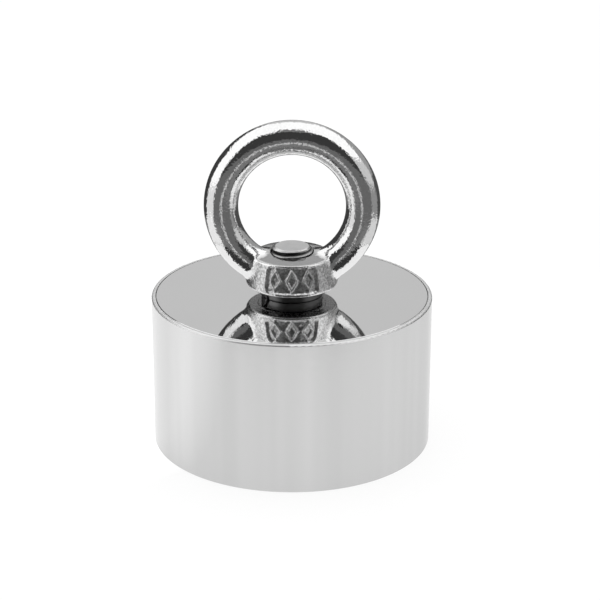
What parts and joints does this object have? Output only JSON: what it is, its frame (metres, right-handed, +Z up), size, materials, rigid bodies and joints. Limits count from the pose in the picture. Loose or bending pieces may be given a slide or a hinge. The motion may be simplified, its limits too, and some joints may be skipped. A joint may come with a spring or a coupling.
{
  "type": "magnet fishing magnet",
  "caption": "Round pot magnet in a polished steel sleeve with a mirror top plate and a screwed-on lifting eye, for pulling iron things out of water.",
  "frame": {"origin": "centre of the pole face's rim, which the magnet stands on", "axes": "+Z up along the bolt and through the eye; the eye's opening runs along Y, and its boss panels face -Y and +Y"},
  "size_m": [0.066, 0.066, 0.078],
  "materials": {
    "polished_sleeve": "polished stainless steel, smooth and glossy",
    "mirror_plate": "mirror-polished stainless steel",
    "plated_pot": "turned mild steel with nickel plating",
    "plated_magnet": "satin nickel plating over sintered magnet",
    "adhesive": "cured glue",
    "potting_resin": "black cured resin",
    "bolt_steel": "machined stainless steel",
    "washer_steel": "spring steel, dull",
    "cast_stainless": "cast stainless steel, tumbled and polished"
  },
  "bodies": {
    "magnet_body": {"outer_sleeve": "polished_sleeve", "top_cover_plate": "mirror_plate", "steel_pot": "plated_pot", "upper_ring_magnet": "plated_magnet", "lower_ring_magnet": "plated_magnet", "pot_adhesive": "adhesive", "magnet_adhesive": "adhesive", "potting_ring": "potting_resin", "countersunk_bolt": "bolt_steel"},
    "washer": {"lock_washer": "washer_steel"},
    "lifting_eye": {"eye_nut": "cast_stainless"}
  },
  "joints": [
    {"name": "thread_travel", "type": "slide", "parent": "magnet_body", "child": "washer", "axis": [0, 0, 1], "range_m": [0, 0.00938]},
    {"name": "eye_unscrew", "type": "hinge", "parent": "washer", "child": "lifting_eye", "pos_m": [0, 0, 0.0383], "axis": [0, 0, 1], "range_deg": [0, 2250]}
  ],
  "couplings": [
    {"joint": "thread_travel", "follows": "eye_unscrew", "m_per_rad": 0.00023873}
  ]
}
